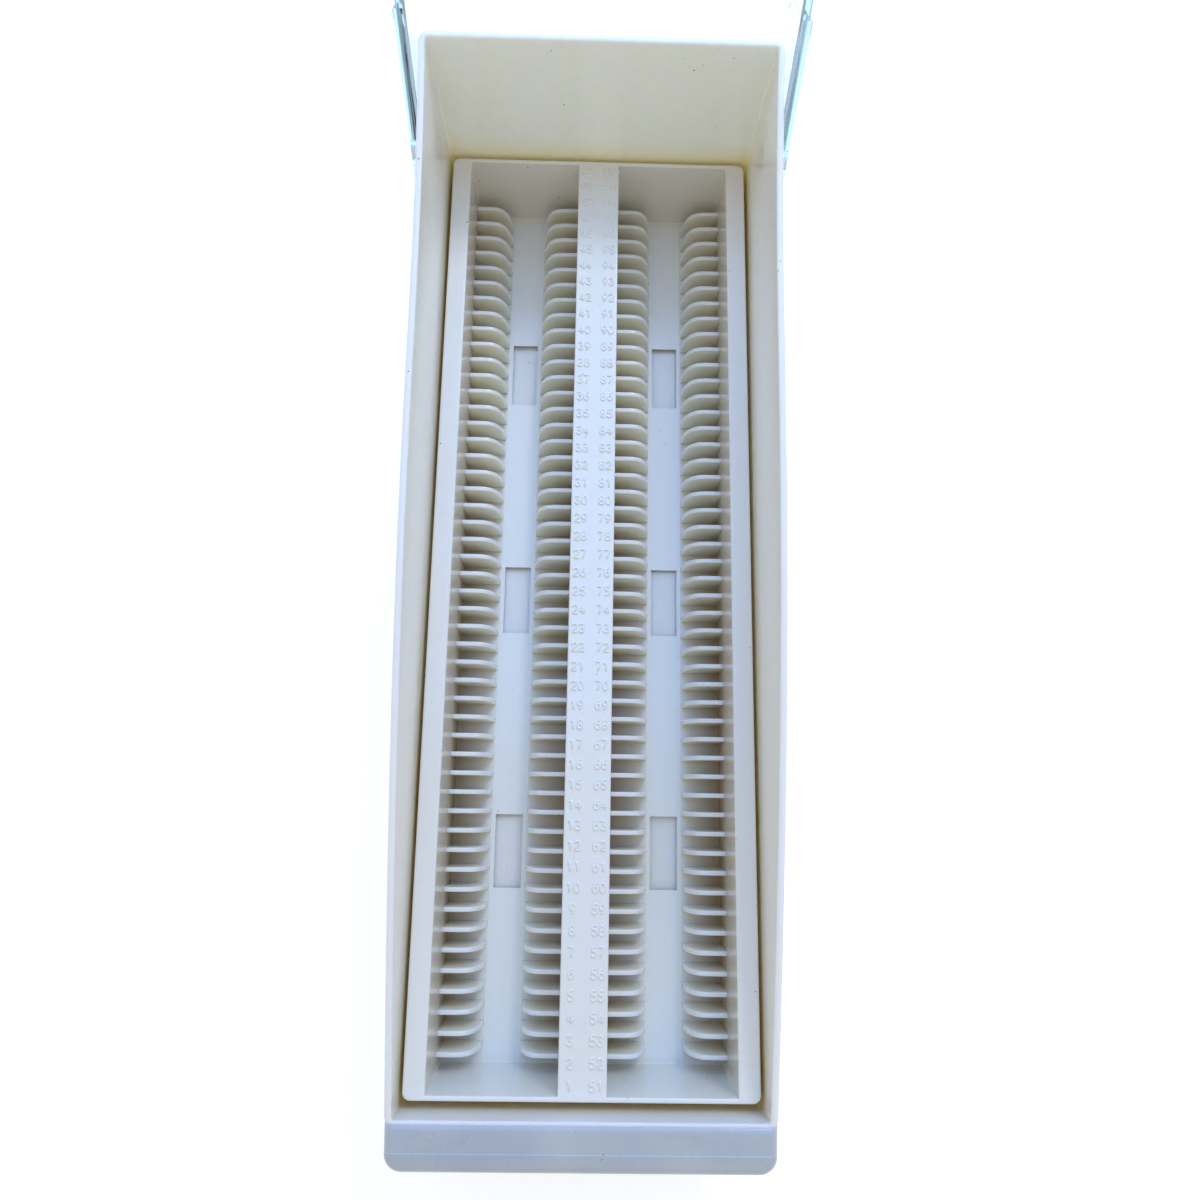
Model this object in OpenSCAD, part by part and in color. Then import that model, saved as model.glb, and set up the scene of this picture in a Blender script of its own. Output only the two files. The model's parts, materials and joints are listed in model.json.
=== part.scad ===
// Microscope slide box: a moulded base with a raised back, a lift-out rack
// with numbered slots for upright slides, and a clear lid hinged on the base.
// +Y points to the back of the box, +X to the right, +Z up.
// The origin is on the base's underside, below the middle of the rack.

/* [Slides] */
// Width of one glass slide
slide_w = 26; // [24:0.5:28]
// Side play of a slide in its channel
slide_play = 0.3; // [0.2:0.1:1]
// Height of a slide that stands in the rack
slide_h = 76; // [70:1:80]
// Slots along each channel
slots = 50; // [30:1:60]
// Distance from slot to slot
pitch = 4.2; // [3.6:0.1:5]

/* [Rack] */
// Width of the number bar between the two channels
bar_w = 9.8; // [7:0.1:14]
// Width of the flange outside each channel
flange_w = 4.5; // [3:0.1:8]
// Depth of the channel floor below the top of the rack
rack_depth = 21.7; // [18:0.1:30]
// Thickness of the channel floor
rack_floor = 1.7; // [1.2:0.1:3]
// Thickness of the rack's top plate
plate_t = 1.6; // [1:0.1:3]
// Thickness of the channel walls
web_t = 1.2; // [0.8:0.1:2]
// Thickness of the rack's end walls
end_t = 1.05; // [0.8:0.05:2]
// Radius of the rack's corners
rack_r = 1.6; // [0.5:0.1:3]
// Thickness of a fin
fin_t = 1.2; // [0.8:0.1:1.8]
// Height of a fin above the channel floor
fin_h = 9.6; // [6:0.1:14]
// Run of the curve in which a fin falls to the channel floor
fin_run = 5; // [2:0.1:7]
// Fullness of that curve, where 2 is an ellipse
fin_full = 2.4; // [2:0.1:4]
// Width of the clear strip between facing fins
strip_w = 8.3; // [6:0.1:10]
// Depth of the strip below the slot floors
strip_sink = 0.4; // [0.1:0.1:0.8]
// Windows in the floor of each channel
windows = 3; // [2:1:4]
// Width of a window
window_w = 6.3; // [4:0.1:7]
// Length of a window
window_l = 16.5; // [8:0.5:20]
// Distance of the outer windows' middles from the ends of the channel
window_end = 45.5; // [20:0.5:50]

/* [Base] */
// Thickness of the base's walls
wall_t = 1.5; // [1.2:0.1:3]
// Thickness of the base's floor
floor_t = 2; // [1.5:0.1:4]
// Gap between the rack and the side walls
side_gap = 0.8; // [0.4:0.1:2]
// Gap between the rack and the front wall
front_gap = 1.8; // [0.6:0.1:4]
// Gap between the rack and the back wall
back_gap = 1; // [0.6:0.1:4]
// Height of the front rim above the top of the rack
rim_front = 5; // [3:0.5:8]
// Height of the back rim above the top of the rack
rim_back = 35.5; // [26:0.1:36]
// Radius of the base's upright corners
base_r = 2; // [1:0.1:4]
// Reach of the front lip
lip_w = 8.5; // [7.5:0.1:12]
// Fall of the lip from the front rim to its nose
lip_fall = 2; // [1:0.1:3]
// Distance of the lip's crease from the front rim
lip_crease = 4.5; // [2:0.1:5]
// Fall of the lip from the front rim to its crease
crease_fall = 0.9; // [0.4:0.1:1]
// Depth of the lip's skirt below the front rim
lip_skirt = 9; // [7:0.1:14]
// Radius of the lip's nose
lip_nose = 2.2; // [1.6:0.1:3]
// Radius of the lip's corners
lip_r = 3.4; // [2:0.1:5]

/* [Lid] */
// Thickness of the lid
lid_t = 1.9; // [1.4:0.1:3]
// Gap between the lid and the base's walls
lid_gap = 0.5; // [0.3:0.1:1.5]
// Room above the slides under the closed lid
head_room = 3.5; // [2:0.5:8]
// Outer radius of the lid's edges
lid_r = 3; // [2:0.1:5]
// Gap between the closed lid and the front rim's lip
lid_lift = 0.7; // [0.5:0.1:2]
// Gap between the open lid's back wall and the base's back face
stop_gap = 0.3; // [0.2:0.1:1]
// Thickening of the lid around the hinge
pad_t = 0.6; // [0.3:0.1:1.2]
// Reach of the thickening in front of the hinge
pad_reach = 30; // [20:1:45]
// Height of the thickening above the hinge
pad_rise = 10; // [6:0.5:16]

/* [Hinge] */
// Distance of the hinge from the base's back face
hinge_in = 11.6; // [10:0.1:14]
// Height of the hinge above the top of the rack
hinge_up = 15.5; // [12:0.1:18]
// Radius of the hinge studs
stud_r = 2.5; // [1.5:0.1:3.5]
// Running clearance of the lid on the studs, on the radius
stud_play = 0.06; // [0.03:0.01:0.1]
// Length of the studs outside the lid
stud_out = 0.8; // [0.3:0.1:2]
// Radius of the bearing collar at the foot of a stud
collar_r = 4.6; // [3.8:0.1:6]
// Angle at which the open lid meets its stop, from closed
lid_open = 118; // [100:1:125]

/* [Hidden] */
$fn = 48;
eps = 0.5;

// Rack
channel_w = slide_w + slide_play;
channel_l = slots * pitch;
channel_x = bar_w / 2 + channel_w / 2;
fin_w = (channel_w - strip_w) / 2;
fin_steps = 8;
window_pitch = (channel_l - 2 * window_end) / (windows - 1);
rack_w = bar_w + 2 * channel_w + 2 * flange_w;
rack_l = channel_l + 2 * end_t;
rack_h = rack_floor + rack_depth;

// Base
rack_top = floor_t + rack_h;
base_w = rack_w + 2 * (side_gap + wall_t);
front_y = -rack_l / 2 - front_gap - wall_t;
back_y = rack_l / 2 + back_gap + wall_t;
rim_front_z = rack_top + rim_front;
rim_back_z = rack_top + rim_back;
base_in_r = max(base_r - wall_t, eps);

// Lid, closed
hinge_y = back_y - hinge_in;
hinge_z = rack_top + hinge_up;
lid_bottom = rim_front_z + lid_lift;
lid_top = floor_t + rack_floor + slide_h + head_room + lid_t;
lid_in_w = base_w + 2 * lid_gap;
lid_w = lid_in_w + 2 * lid_t;
lid_front = front_y - lid_gap - lid_t;
lid_back = back_y + lid_gap + lid_t;
lid_in_r = max(lid_r - lid_t, eps);
// The lid's back wall starts where it clears the back rim when shut,
// and where its outer edge meets the base's back face when fully open.
notch_shut = rim_back_z + lid_gap;
lid_behind = hinge_in + lid_gap + lid_t;
notch_open = hinge_z + (hinge_in + stop_gap - lid_behind * cos(lid_open)) / sin(lid_open);
notch_top = max(notch_shut, notch_open);

// Hinge studs: their bevelled tip, the collar's gap to the lid and
// the shallow dimple that moulding leaves behind each
stud_end = lid_w / 2 + pad_t + stud_out;
stud_tip = 0.5;
collar_gap = 0.2;
dimple_r = 1.6;
dimple_d = 0.3;

// The side rim swells up from the front rim and rises again at the back rim.
// Its curve has two handles, as shares of the rim's run and rise.
rim_front_handle = [0.61, 1.1];
rim_back_handle = [0.7, 0.5];
rim_steps = 32;
rim_size = [back_y - front_y, rim_back - rim_front];
rim_a = [front_y + wall_t, rim_front_z];
rim_b = [for (i = [0, 1]) rim_a[i] + rim_front_handle[i] * rim_size[i]];
rim_c = [for (i = [0, 1]) rim_a[i] + rim_back_handle[i] * rim_size[i]];
rim_d = [back_y - wall_t, rim_back_z];
function rim_point(u) =
    pow(1 - u, 3) * rim_a + 3 * u * pow(1 - u, 2) * rim_b
    + 3 * u * u * (1 - u) * rim_c + pow(u, 3) * rim_d;

// A rectangle from low to high with round corners
module round_rect(low, high, r) {
    size = high - low;
    translate(low + [r, 0]) square([size[0] - 2 * r, size[1]]);
    translate(low + [0, r]) square([size[0], size[1] - 2 * r]);
    for (x = [low[0] + r, high[0] - r], y = [low[1] + r, high[1] - r])
        translate([x, y]) circle(r);
}

// A profile drawn in Y and Z, drawn out along X about the middle
module along_x(width) {
    translate([-width / 2, 0, 0])
        rotate([90, 0, 90]) linear_extrude(width) children();
}

// A profile drawn in X and Z, drawn out along Y from low to high
module along_y(low, high) {
    translate([0, high, 0])
        rotate([90, 0, 0]) linear_extrude(high - low) children();
}

// A point on the curve of a fin's end, from its level top to the floor
function fin_point(angle) = [
    fin_w - fin_run * (1 - pow(sin(angle), 2 / fin_full)),
    fin_h * pow(cos(angle), 2 / fin_full)];

// Outline of one fin: it grows from the channel wall at x = 0, runs level
// and falls to the floor in a quarter of a full ellipse
module fin_outline() {
    polygon(concat(
        [[fin_w, -eps], [-eps, -eps], [-eps, fin_h]],
        [for (i = [0 : fin_steps]) fin_point(90 * i / fin_steps)]));
}

// One row of fins, one between each pair of slots
module fin_row() {
    for (i = [1 : slots - 1]) {
        y = i * pitch - channel_l / 2;
        along_y(y - fin_t / 2, y + fin_t / 2) fin_outline();
    }
}

// One channel's walls and floor, as an open trough
module trough() {
    difference() {
        translate([-channel_w / 2 - web_t, -rack_l / 2, 0])
            cube([channel_w + 2 * web_t, rack_l, rack_h]);
        translate([-channel_w / 2, -channel_l / 2, rack_floor])
            cube([channel_w, channel_l, rack_h]);
        translate([-strip_w / 2, -channel_l / 2, rack_floor - strip_sink])
            cube([strip_w, channel_l, rack_h]);
        for (i = [0 : windows - 1]) {
            y = (i - (windows - 1) / 2) * window_pitch;
            translate([-window_w / 2, y - window_l / 2, -eps])
                cube([window_w, window_l, rack_h]);
        }
    }
    for (side = [0, 1]) mirror([side, 0, 0])
        translate([-channel_w / 2, 0, rack_floor]) fin_row();
}

// The top plate with the two channel mouths
module top_plate() {
    translate([0, 0, rack_h - plate_t]) linear_extrude(plate_t) difference() {
        round_rect([-rack_w / 2, -rack_l / 2], [rack_w / 2, rack_l / 2], rack_r);
        for (x = [-channel_x, channel_x]) translate([x, 0])
            square([channel_w, channel_l], center = true);
    }
}

// End walls that close the hollows under the bar and the flanges
module end_walls() {
    for (y = [-rack_l / 2, rack_l / 2 - end_t])
        translate([-rack_w / 2 + rack_r, y, 0])
            cube([rack_w - 2 * rack_r, end_t, rack_h]);
}

module rack() {
    color("ivory") translate([0, 0, floor_t]) {
        top_plate();
        end_walls();
        for (x = [-channel_x, channel_x]) translate([x, 0, 0]) trough();
    }
}

// Side view of the base, with the rim curve
module base_side() {
    polygon(concat(
        [[back_y, 0], [back_y, rim_back_z]],
        [for (i = [rim_steps : -1 : 0]) rim_point(i / rim_steps)],
        [[front_y, rim_front_z], [front_y, 0]]));
}

// Side view of the lip: a creased slope, a round nose and a skirt, grown in by inset
module lip_side(inset) {
    nose_y = front_y - lip_w + lip_nose;
    nose_z = rim_front_z - lip_fall - lip_nose;
    low = rim_front_z - lip_skirt - (inset > 0 ? eps : 0);
    polygon([[front_y + wall_t / 2, low], [front_y + wall_t / 2, rim_front_z - inset],
        [front_y, rim_front_z - inset], [front_y - lip_crease, rim_front_z - crease_fall - inset],
        [nose_y, rim_front_z - lip_fall - inset], [nose_y, low]]);
    translate([nose_y, nose_z]) circle(lip_nose - inset);
    translate([front_y - lip_w + inset, low])
        square([lip_nose - inset, nose_z - low]);
}

// The lip's solid, or with an inset the hollow under it
module lip_block(inset) {
    intersection() {
        along_x(base_w - 2 * inset) lip_side(inset);
        linear_extrude(rim_back_z) round_rect(
            [-base_w / 2 + inset, front_y - lip_w + inset],
            [base_w / 2 - inset, front_y + wall_t + lip_r], lip_r - inset);
    }
}

// The lip in front of the base
module lip() {
    difference() {
        lip_block(0);
        difference() {
            lip_block(wall_t);
            translate([-base_w / 2, front_y, 0])
                cube([base_w, wall_t, rim_back_z]);
        }
    }
}

// One hinge stud with its collar, pointing out along +X
module stud() {
    translate([base_w / 2 - wall_t / 2, hinge_y, hinge_z]) rotate([0, 90, 0]) {
        cylinder(r = collar_r, h = wall_t / 2 + lid_gap - collar_gap);
        cylinder(r = stud_r, h = stud_end - base_w / 2 + wall_t / 2 - stud_tip);
        translate([0, 0, stud_end - base_w / 2 + wall_t / 2 - stud_tip])
            cylinder(r1 = stud_r, r2 = stud_r - stud_tip, h = stud_tip);
    }
}

// The shallow dimple that moulding leaves behind a stud
module dimple() {
    translate([base_w / 2 - wall_t - eps, hinge_y, hinge_z]) rotate([0, 90, 0])
        cylinder(r = dimple_r, h = dimple_d + eps);
}

module base() {
    color("ivory") {
        difference() {
            intersection() {
                along_x(base_w) base_side();
                linear_extrude(rim_back_z) round_rect(
                    [-base_w / 2, front_y], [base_w / 2, back_y], base_r);
            }
            translate([0, 0, floor_t]) linear_extrude(rim_back_z) round_rect(
                [-base_w / 2 + wall_t, front_y + wall_t],
                [base_w / 2 - wall_t, back_y - wall_t], base_in_r);
            for (side = [0, 1]) mirror([side, 0, 0]) dimple();
        }
        lip();
        for (side = [0, 1]) mirror([side, 0, 0]) stud();
    }
}

// A block with rounded upright and upper edges, from the lid's bottom up
module lid_block(half_w, front, back, low, high, r) {
    intersection() {
        along_x(2 * half_w) round_rect([front, low - 2 * r], [back, high], r);
        along_y(front, back) round_rect([-half_w, low - 2 * r], [half_w, high], r);
        translate([0, 0, low]) linear_extrude(high - low)
            round_rect([-half_w, front], [half_w, back], r);
    }
}

// The thickened ear of one side wall, with a round front end
module hinge_pad() {
    pad_top = hinge_z + pad_rise;
    translate([lid_in_w / 2 + lid_t / 2, 0, 0]) rotate([90, 0, 90])
        linear_extrude(lid_t / 2 + pad_t) {
            translate([hinge_y - pad_reach, lid_bottom])
                square([pad_reach + hinge_in - lid_r, pad_top - pad_rise - lid_bottom]);
            translate([hinge_y - pad_reach + pad_rise, lid_bottom])
                square([pad_reach - pad_rise + hinge_in - lid_r, pad_top - lid_bottom]);
            translate([hinge_y - pad_reach + pad_rise, pad_top - pad_rise]) circle(pad_rise);
        }
}

module lid_closed() {
    difference() {
        union() {
            lid_block(lid_w / 2, lid_front, lid_back, lid_bottom, lid_top, lid_r);
            for (side = [0, 1]) mirror([side, 0, 0]) hinge_pad();
        }
        lid_block(lid_in_w / 2, lid_front + lid_t, lid_back - lid_t,
            lid_bottom - eps, lid_top - lid_t, lid_in_r);
        translate([-lid_in_w / 2, back_y - wall_t, lid_bottom - eps])
            cube([lid_in_w, lid_back - back_y + wall_t + eps, notch_top - lid_bottom + eps]);
        translate([-lid_w, hinge_y, hinge_z]) rotate([0, 90, 0])
            cylinder(r = stud_r + stud_play, h = 2 * lid_w);
    }
}

module lid() {
    color([0.85, 0.92, 0.95, 0.35])
        translate([0, hinge_y, hinge_z]) rotate([-lid_open, 0, 0])
            translate([0, -hinge_y, -hinge_z]) lid_closed();
}

base();
rack();
lid();
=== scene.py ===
"""Looks of a microscope slide box: two ivory mouldings, raised numerals and a clear lid."""

import json
import math

import bmesh
import bpy
import numpy as np
from bpy.props import FloatProperty, FloatVectorProperty, IntProperty, PointerProperty
from mathutils import Matrix, Vector


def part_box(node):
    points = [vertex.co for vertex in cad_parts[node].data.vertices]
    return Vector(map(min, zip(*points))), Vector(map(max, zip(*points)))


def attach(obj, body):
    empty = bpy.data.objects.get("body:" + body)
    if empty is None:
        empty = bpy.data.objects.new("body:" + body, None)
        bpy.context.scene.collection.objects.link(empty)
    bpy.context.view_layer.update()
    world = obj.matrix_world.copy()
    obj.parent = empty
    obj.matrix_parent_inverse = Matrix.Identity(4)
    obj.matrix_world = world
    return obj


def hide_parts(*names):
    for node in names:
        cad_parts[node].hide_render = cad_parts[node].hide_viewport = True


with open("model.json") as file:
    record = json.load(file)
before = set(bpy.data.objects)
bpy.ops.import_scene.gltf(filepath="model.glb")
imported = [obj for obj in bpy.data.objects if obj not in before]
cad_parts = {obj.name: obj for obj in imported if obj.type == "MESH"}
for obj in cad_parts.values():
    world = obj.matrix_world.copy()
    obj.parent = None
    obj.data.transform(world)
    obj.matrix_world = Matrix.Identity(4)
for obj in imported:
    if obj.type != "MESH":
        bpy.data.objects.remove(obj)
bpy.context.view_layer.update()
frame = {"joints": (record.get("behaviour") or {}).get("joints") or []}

bl_info = {
    "name": "Microscope slide box",
    "version": (1, 0, 0),
    "blender": (4, 5, 0),
    "location": "3D view > Sidebar > Slide box",
    "description": "Builds a slide box with a lift-out rack, raised numerals and a hinged clear lid",
    "category": "Add Mesh",
}

MM = 0.001
NEAR = 1e-5  # Slack, in metres, when places on a mesh are compared
TINY = 1e-9  # Guard against rounding
MOST_BOUNCES = 5.5  # Light that has bounced more often is taken as caught in the lid's walls
RIM_HANDLES = np.array([(0.61, 1.1), (0.7, 0.5)])  # Shares of the rim's run and rise at its handles
RACK_LOW, RACK_HIGH = (np.array(corner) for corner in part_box("rack"))
BASE_HIGH = np.array(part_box("base")[1])
HINGE_JOINT = next(joint for joint in frame["joints"] if joint["name"] == "lid_hinge")
HINGE = np.array(HINGE_JOINT["pos_m"])
LID_OPEN = -math.radians(HINGE_JOINT["range_deg"][0])
RACK_TOP = RACK_HIGH[2]
RACK_FOOT = RACK_LOW[2]


def length(name, description, millimetres):
    """A length property whose default is given in millimetres."""
    return FloatProperty(
        name=name, description=description, default=millimetres * MM,
        min=0.0, precision=5, unit="LENGTH", subtype="DISTANCE",
    )


def colour(name, description, default):
    """A colour property, in linear red, green and blue."""
    return FloatVectorProperty(
        name=name, description=description, default=default,
        size=3, min=0.0, max=1.0, subtype="COLOR",
    )


def location(name, description, default):
    """A place in metres."""
    return FloatVectorProperty(
        name=name, description=description, default=default, subtype="TRANSLATION", unit="LENGTH",
    )


class RackSizes(bpy.types.PropertyGroup):
    """Sizes of the lift-out rack."""

    slots: IntProperty(name="Slots", description="Slots along each channel", default=50, min=2)
    pitch: length("Pitch", "Distance from slot to slot", 4.2)
    bar_w: length("Bar width", "Width of the number bar", 9.8)
    channel_w: length("Channel width", "Width of one channel", 26.3)
    depth: length("Channel depth", "Depth of the channel floor below the rack's top", 21.7)
    plate_t: length("Plate", "Thickness of the rack's top plate", 1.6)
    web_t: length("Web", "Thickness of the channel walls", 1.2)
    draft: length("Draft", "How far a channel wall leans in down to the floor", 0.15)
    edge_r: length("Mouth edge", "Radius of the edges of the channel mouths", 0.35)
    rim_r: length("Outer edge", "Radius of the outer top edge", 0.45)
    floor_r: length("Floor fillet", "Radius between a channel wall and its floor", 0.5)
    corner_r: length("Corner", "Radius of the rack's corners seen from above", 1.6)
    strip_w: length("Strip width", "Width of the clear strip between facing fins", 8.3)
    strip_sink: length("Strip sink", "Depth of the strip below the slot floors", 0.4)
    windows: IntProperty(name="Windows", description="Windows in each channel floor", default=3, min=2)
    window_w: length("Window width", "Width of a floor window", 6.3)
    window_l: length("Window length", "Length of a floor window", 16.5)
    window_end: length("Window end", "Outer windows' middles from the ends of the channel", 45.5)
    window_t: length("Window edge", "Thickness of the floor at a window's edge", 0.25)
    undercut: length("Undercut", "How far the floor is cut away below a window's edge", 0.8)
    fin_h: length("Fin height", "Height of a fin above the slot floor", 9.6)
    fin_run: length("Fin run", "Run of the curve in which a fin falls to the floor", 5.0)
    fin_power: FloatProperty(
        name="Fin curve", description="Fullness of the curve: 2 is an ellipse and more is fuller",
        default=2.4, min=1.5,
    )
    fin_t: length("Fin top", "Thickness of a fin along its top", 1.0)
    fin_foot: length("Fin foot", "Thickness of a fin at the floor", 1.25)
    fin_edge: length("Fin edge", "Width of the softened edge along a fin's top", 0.12)


class BaseSizes(bpy.types.PropertyGroup):
    """Sizes of the base."""

    wall_t: length("Wall", "Thickness of the walls", 1.5)
    side_gap: length("Side gap", "Gap between the rack and a side wall", 0.8)
    front_gap: length("Front gap", "Gap between the rack and the front wall", 1.8)
    back_gap: length("Back gap", "Gap between the rack and the back wall", 1.0)
    rim_front: length("Front rim", "Height of the front rim above the rack's top", 5.0)
    rim_outer_r: length("Rim outer edge", "Radius of the rim's outer edge", 0.8)
    rim_inner_r: length("Rim inner edge", "Radius of the rim's inner edge", 0.4)
    foot_r: length("Foot edge", "Radius around the underside", 0.7)
    floor_r: length("Floor fillet", "Radius between the walls and the floor", 1.0)
    lean: length("Lean", "How far the side walls lean out above the rack, up to the back rim", 0.35)
    corner_r: length("Corner", "Radius of the upright corners", 2.0)
    lip_w: length("Lip reach", "Reach of the front lip", 8.5)
    lip_fall: length("Lip fall", "Fall of the lip from the rim to its nose", 2.0)
    crease: length("Crease", "Distance of the lip's crease from the rim", 4.5)
    crease_fall: length("Crease fall", "Fall of the lip down to its crease", 0.9)
    crease_step: length("Crease step", "Small step up at the crease", 0.15)
    lip_skirt: length("Skirt", "Depth of the lip's skirt below the rim", 9.0)
    lip_r: length("Lip corner", "Radius of the lip's corners seen from above", 3.4)
    nose_r: length("Nose", "Radius of the lip's outer edge", 1.5)
    stud_r: length("Stud", "Radius of the hinge studs", 2.5)
    stud_tip: length("Stud tip", "Bevel at the end of a stud", 0.5)
    collar_r: length("Collar", "Radius of the collar at the foot of a stud", 4.6)
    collar_t: length("Collar height", "Height of the collar on the wall", 0.3)
    dimple_r: length("Dimple", "Radius of the dimple behind a stud", 1.7)
    dimple_d: length("Dimple depth", "Depth of the dimple behind a stud", 0.3)


class LidSizes(bpy.types.PropertyGroup):
    """Sizes of the clear lid."""

    wall_t: length("Wall", "Thickness of the lid", 1.9)
    gap: length("Gap", "Gap between the lid and the base's walls", 0.5)
    lift: length("Lift", "Gap between the closed lid and the front rim", 0.7)
    top: length("Top", "Height of the closed lid's top above the table", 85.1)
    edge_r: length("Edge", "Outer radius of the lid's edges", 3.0)
    foot_r: length("Foot edge", "Radius along the lid's free edge", 0.45)
    stop_gap: length("Stop gap", "Gap between the open lid's back wall and the base", 0.3)
    ear_t: length("Ear", "How far the hinge ears stand out", 0.6)
    ear_reach: length("Ear reach", "Reach of an ear in front of the hinge", 30.0)
    ear_rise: length("Ear rise", "Height of an ear above the hinge", 10.0)
    stud_play: length("Stud play", "Clearance of the lid's holes on the studs", 0.06)


class NumeralSizes(bpy.types.PropertyGroup):
    """Sizes of the raised numerals."""

    height: length("Height", "Height of a numeral", 2.0)
    digit_w: length("Width", "Width of one digit", 1.2)
    space: length("Space", "Space between two digits", 0.35)
    column: length("Column", "Distance of a column's middle from the bar's middle", 2.7)
    stroke_w: length("Stroke", "Width of a stroke at its foot", 0.46)
    stroke_h: length("Relief", "Height of a stroke above the bar", 0.3)


class Colours(bpy.types.PropertyGroup):
    """Colours of the plastics and the stage."""

    ivory: colour("Ivory", "Moulded plastic of the rack and the lip", (0.88, 0.87, 0.79))
    # Partly painted light: a lighter copy of the ivory that brightens the base's walls in shade, besides the
    # light that spreads inside them
    shell: colour("Shell ivory", "Plastic of the base, which light shines through", (0.96, 0.905, 0.835))
    # Partly painted light: a lighter copy of the rack's ivory that brightens the fins, besides the light that
    # spreads inside them
    thin: colour("Thin ivory", "Plastic of the fins, which light shines through", (0.98, 0.935, 0.80))
    # Painted shade: a dark warm brown laid where shade falls between the fins, down the channels and below
    # the windows' edges
    aged: colour("Aged ivory", "Plastic that has yellowed between the fins", (0.50, 0.37, 0.20))
    # Painted shade and glow: a warm tone laid in the gap beside the rack and faintly on the base's floor and
    # inner walls
    amber: colour("Amber", "Plastic that has yellowed low in the base", (0.92, 0.74, 0.47))
    # Painted shade: a bluish grey laid on the lip's top, which faces away from the light
    worn: colour("Worn ivory", "Plastic greyed by handling along the front lip", (0.41, 0.46, 0.51))
    speck: colour("Specks", "Fine dirt in the recesses", (0.20, 0.17, 0.12))
    clear: colour("Clear", "Plastic of the lid", (0.95, 0.98, 0.99))
    clear_depth: colour("Clear edge", "Tint that light takes on along the lid's walls", (0.70, 0.88, 0.96))
    floor: colour("Floor", "Floor of the stage", (0.90, 0.90, 0.90))
    key: colour("Key", "Light of the lamp behind the box", (1.0, 0.95, 0.88))
    panel: colour("Panel", "Light of the wide panel above", (0.03, 0.33, 1.0))
    sky: colour("Sky", "Soft light from all round", (1.0, 0.96, 0.88))


class StageSizes(bpy.types.PropertyGroup):
    """Camera and light."""

    camera: location("Camera", "Place of the camera", (-1.343 * MM, -44.422 * MM, 219.576 * MM))
    turn: FloatVectorProperty(
        name="Turn", description="Tilt, yaw and roll of a camera that looks down", subtype="EULER",
        default=(0.20437, -0.01669, 0.01959),
    )
    lens: FloatProperty(name="Lens", description="Focal length in millimetres", default=26.9, min=1.0)
    sky_strength: FloatProperty(name="Sky", description="Strength of the soft light", default=0.59, min=0.0)
    floor_glow: FloatProperty(
        name="Floor", description="White added to the floor as seen", default=0.45, min=0.0,
    )
    key_power: FloatProperty(name="Key", description="Power of the lamp behind the box", default=2.6, min=0.0)
    key_place: location("Key place", "Place of the lamp behind the box", (0.40, 0.70, 0.90))
    key_size: length("Key size", "Width of the lamp behind the box", 300)
    panel_power: FloatProperty(name="Panel", description="Power of the wide panel", default=4.8, min=0.0)
    panel_place: location("Panel place", "Place of the wide panel", (0.05, 0.42, 0.62))
    panel_size: length("Panel size", "Width of the wide panel", 1000)


class SlideBox(bpy.types.PropertyGroup):
    """Everything that a user would change."""

    rack: PointerProperty(type=RackSizes)
    base: PointerProperty(type=BaseSizes)
    lid: PointerProperty(type=LidSizes)
    numerals: PointerProperty(type=NumeralSizes)
    colours: PointerProperty(type=Colours)
    stage: PointerProperty(type=StageSizes)


# Surfaces as whole arrays

def unit(vector):
    """The vector at length one."""
    return vector / np.linalg.norm(vector)


def rounded_path(corners, radii, steps=4):
    """Straight legs joined by arcs. Each arc touches its two legs at radius / tan(half the
    angle between them), and its points are blended on the circle by the sine rule."""
    corners = np.asarray(corners, float)
    runs = [corners[:1]]
    for here, before, after, radius in zip(corners[1:-1], corners[:-2], corners[2:], radii):
        if radius == 0:
            runs.append(here[None])
            continue
        back, ahead = unit(before - here), unit(after - here)
        half = math.acos(np.clip(back @ ahead, -1, 1)) / 2
        centre = here + unit(back + ahead) * radius / math.sin(half)
        start = here + back * radius / math.tan(half) - centre
        end = here + ahead * radius / math.tan(half) - centre
        turn = math.pi - 2 * half
        share = np.linspace(0, 1, steps + 1)[:, None]
        blend = np.sin((1 - share) * turn) * start + np.sin(share * turn) * end
        runs.append(centre + blend / math.sin(turn))
    runs.append(corners[-1:])
    return np.concatenate(runs)


def grid_faces(rows, columns, wrap_rows=False, wrap_columns=False):
    """Quads of a grid of points kept row by row, closed round where asked."""
    row, column = np.meshgrid(
        np.arange(rows if wrap_rows else rows - 1),
        np.arange(columns if wrap_columns else columns - 1), indexing="ij",
    )
    next_row, next_column = (row + 1) % rows, (column + 1) % columns
    corners = (row * columns + column, row * columns + next_column,
               next_row * columns + next_column, next_row * columns + column)
    return np.stack(corners, -1).reshape(-1, 4)


def half_loop(along, turn_steps=6):
    """Right half of a rectangle with round corners, from front to back, as shares:
    y = middle + share * (half length - radius) + radius * sin(angle), x likewise."""
    front = np.linspace(-math.pi / 2, 0, turn_steps + 1)
    back = np.linspace(0, math.pi / 2, turn_steps + 1)
    along = np.asarray(along)
    share = np.concatenate([np.full(front.size, -1.0), along, np.full(back.size, 1.0)])
    angle = np.concatenate([front, np.zeros(along.size), back])
    return share, angle


def loop_points(loop, half_w, front, back, radius):
    """The right half loop at each row's own half width, ends and corner radius."""
    share, angle = loop
    half_w, front, back, radius = (np.atleast_1d(v)[:, None] for v in (half_w, front, back, radius))
    x = half_w - radius + radius * np.cos(angle)
    y = (front + back) / 2 + share * ((back - front) / 2 - radius) + radius * np.sin(angle)
    return x, y


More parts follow.
